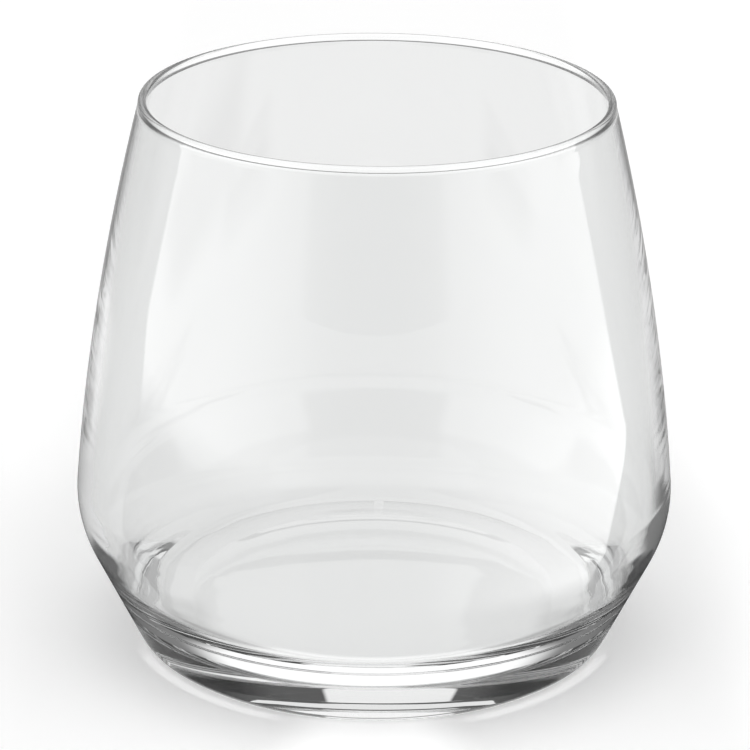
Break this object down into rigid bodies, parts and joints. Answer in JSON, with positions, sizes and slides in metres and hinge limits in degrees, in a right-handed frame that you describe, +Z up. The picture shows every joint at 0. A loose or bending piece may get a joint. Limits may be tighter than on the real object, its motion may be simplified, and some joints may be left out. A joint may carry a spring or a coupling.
{
  "type": "stemless wine glass",
  "caption": "Stemless clear wine glass: tall wall leaning in to a rounded rim, rounded shoulder, flared lower side and thick base.",
  "frame": {"origin": "middle of the ring that the glass stands on, at the level of the table", "axes": "+Z up along the axis of revolution, from the base to the mouth; X and Y are any two directions square to it"},
  "size_m": [0.091, 0.091, 0.0845],
  "materials": {
    "clear_glass": "clear colourless soda-lime glass, fire-polished, with faint ripples in the thick lower part"
  },
  "bodies": {
    "root": {"wine_glass": "clear_glass"}
  },
  "joints": []
}
